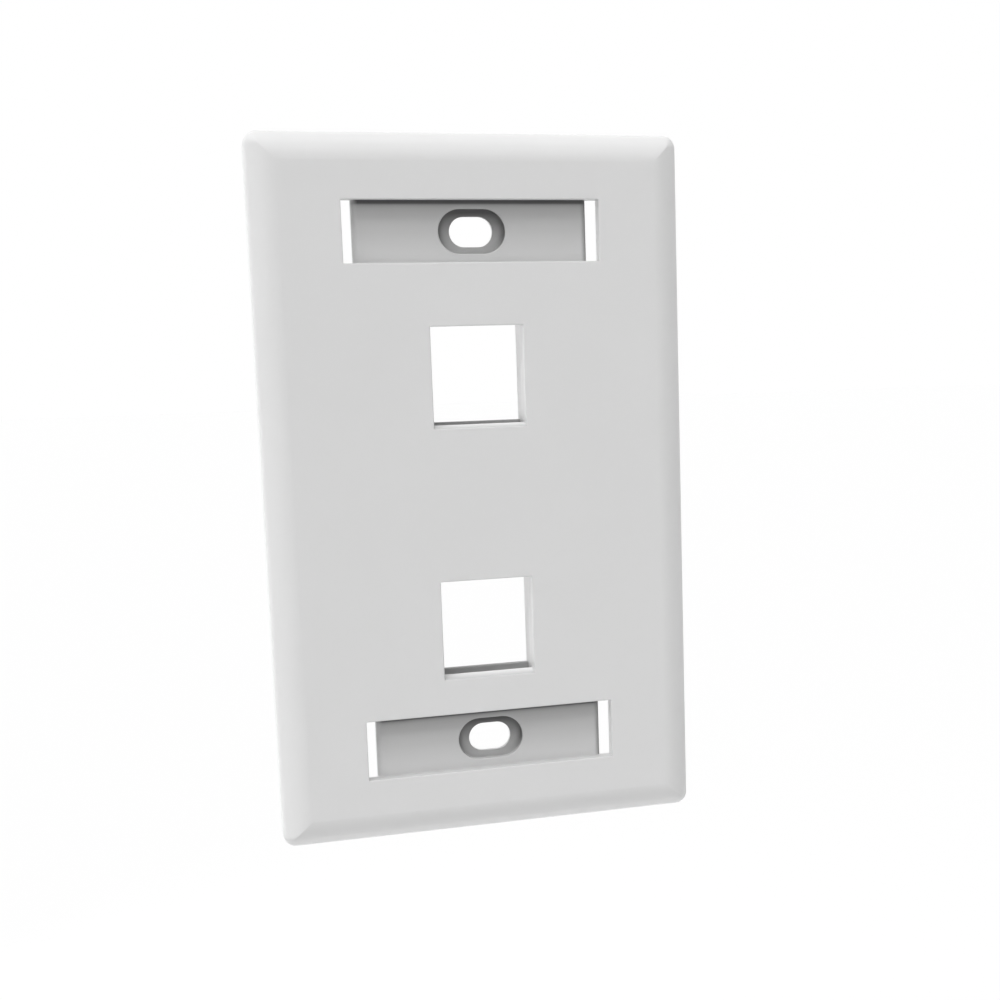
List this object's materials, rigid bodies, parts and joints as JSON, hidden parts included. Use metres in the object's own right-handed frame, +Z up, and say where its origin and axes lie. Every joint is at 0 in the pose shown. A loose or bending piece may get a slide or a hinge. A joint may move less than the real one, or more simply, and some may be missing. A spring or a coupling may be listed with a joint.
{
  "type": "keystone faceplate",
  "caption": "Single-gang wall plate with snap-in keystone ports, recessed label windows and counterbored screw slots, moulded in one piece.",
  "frame": {"origin": "centre of the wall plane (back face of the rim), midway between the two cover screws", "axes": "+X across the plate, +Y from the room into the wall, +Z up; the face looks along -Y"},
  "size_m": [0.0698, 0.0066, 0.1142],
  "materials": {
    "moulding": "satin white, fine moulded surface"
  },
  "bodies": {
    "root": {"faceplate": "moulding"}
  },
  "joints": []
}
